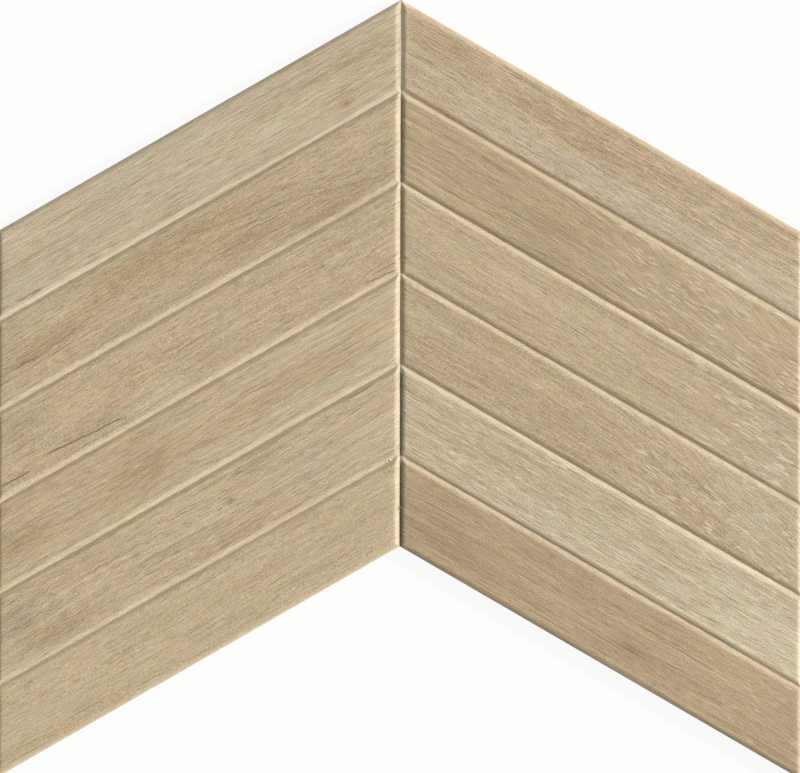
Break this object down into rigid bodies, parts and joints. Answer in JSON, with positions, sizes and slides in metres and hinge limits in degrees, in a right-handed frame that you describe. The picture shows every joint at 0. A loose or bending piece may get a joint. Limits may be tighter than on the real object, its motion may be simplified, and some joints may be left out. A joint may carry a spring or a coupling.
{
  "type": "chevron wall tile",
  "caption": "Chevron wall tile in glazed ceramic with a pale oak look: mitred rows of staves meet at a spine, parted by soft-shouldered grooves, with an eased rim and a keyed back.",
  "frame": {"origin": "on the back, in the middle of the box around the tile", "axes": "+Z out of the glazed face, +Y towards the tile's point, +X across it from the left leg to the right"},
  "size_m": [0.378, 0.3654, 0.009],
  "materials": {
    "glazed_tile": "matt glaze printed in pale oak tones on the face, bare cream body at the sides and back"
  },
  "bodies": {
    "root": {"chevron_tile": "glazed_tile"}
  },
  "joints": []
}
